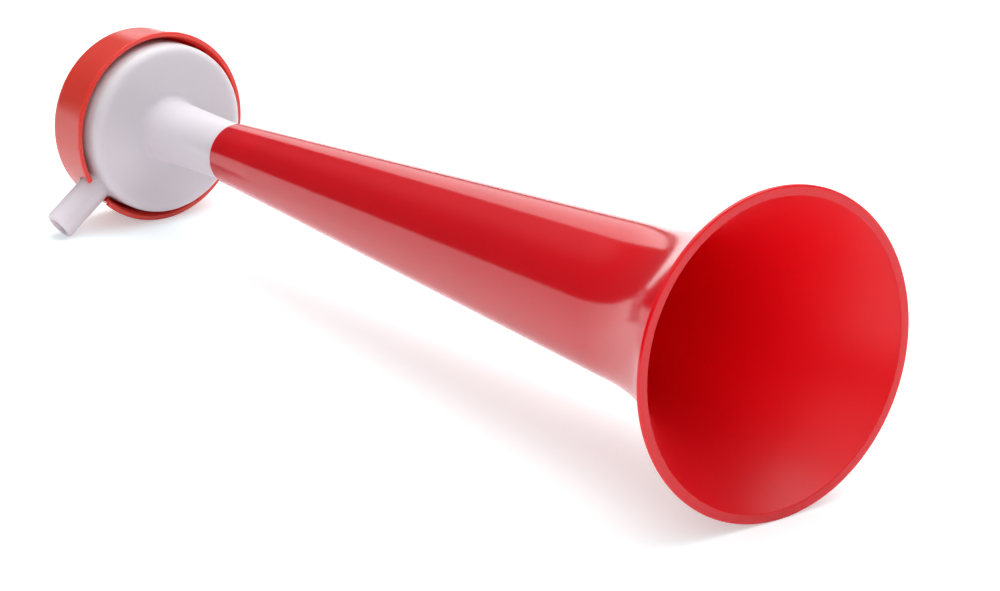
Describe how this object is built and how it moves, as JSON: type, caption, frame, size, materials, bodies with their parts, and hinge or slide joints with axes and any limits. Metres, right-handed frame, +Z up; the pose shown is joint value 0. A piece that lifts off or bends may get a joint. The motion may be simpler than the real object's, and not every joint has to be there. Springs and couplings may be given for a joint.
{
  "type": "plastic horn",
  "caption": "Long red flared horn bell pushed on the stem of a white blown chamber with a side blow tube, closed behind by a film and a red cap.",
  "frame": {"origin": "centre of the object's box on the floor that the horn lies on", "axes": "+X along the floor from the cap to the mouth, +Z up; the horn's own axis climbs 3.04 degrees towards +X, and the blow tube points down to the -Y side"},
  "size_m": [0.369, 0.105, 0.1049],
  "materials": {
    "bell_red": "glossy moulded plastic",
    "chamber_white": "satin moulded plastic",
    "film_clear": "thin translucent plastic film",
    "cap_red": "semi-gloss moulded plastic"
  },
  "bodies": {
    "chamber": {"chamber_body": "chamber_white"},
    "bell": {"bell": "bell_red"},
    "cap": {"cap": "cap_red"},
    "film": {"film": "film_clear"}
  },
  "joints": [
    {"name": "bell_pull", "type": "slide", "parent": "chamber", "child": "bell", "axis": [0.9986, 0, 0.053], "range_m": [0, 0.02]},
    {"name": "cap_pull", "type": "slide", "parent": "chamber", "child": "cap", "axis": [-0.9986, 0, -0.053], "range_m": [0, 0.02]},
    {"name": "film_lift", "type": "slide", "parent": "chamber", "child": "film", "axis": [-0.9986, 0, -0.053], "range_m": [0, 0.01]}
  ],
  "couplings": [
    {"joint": "film_lift", "follows": "cap_pull", "ratio": 0.5}
  ]
}
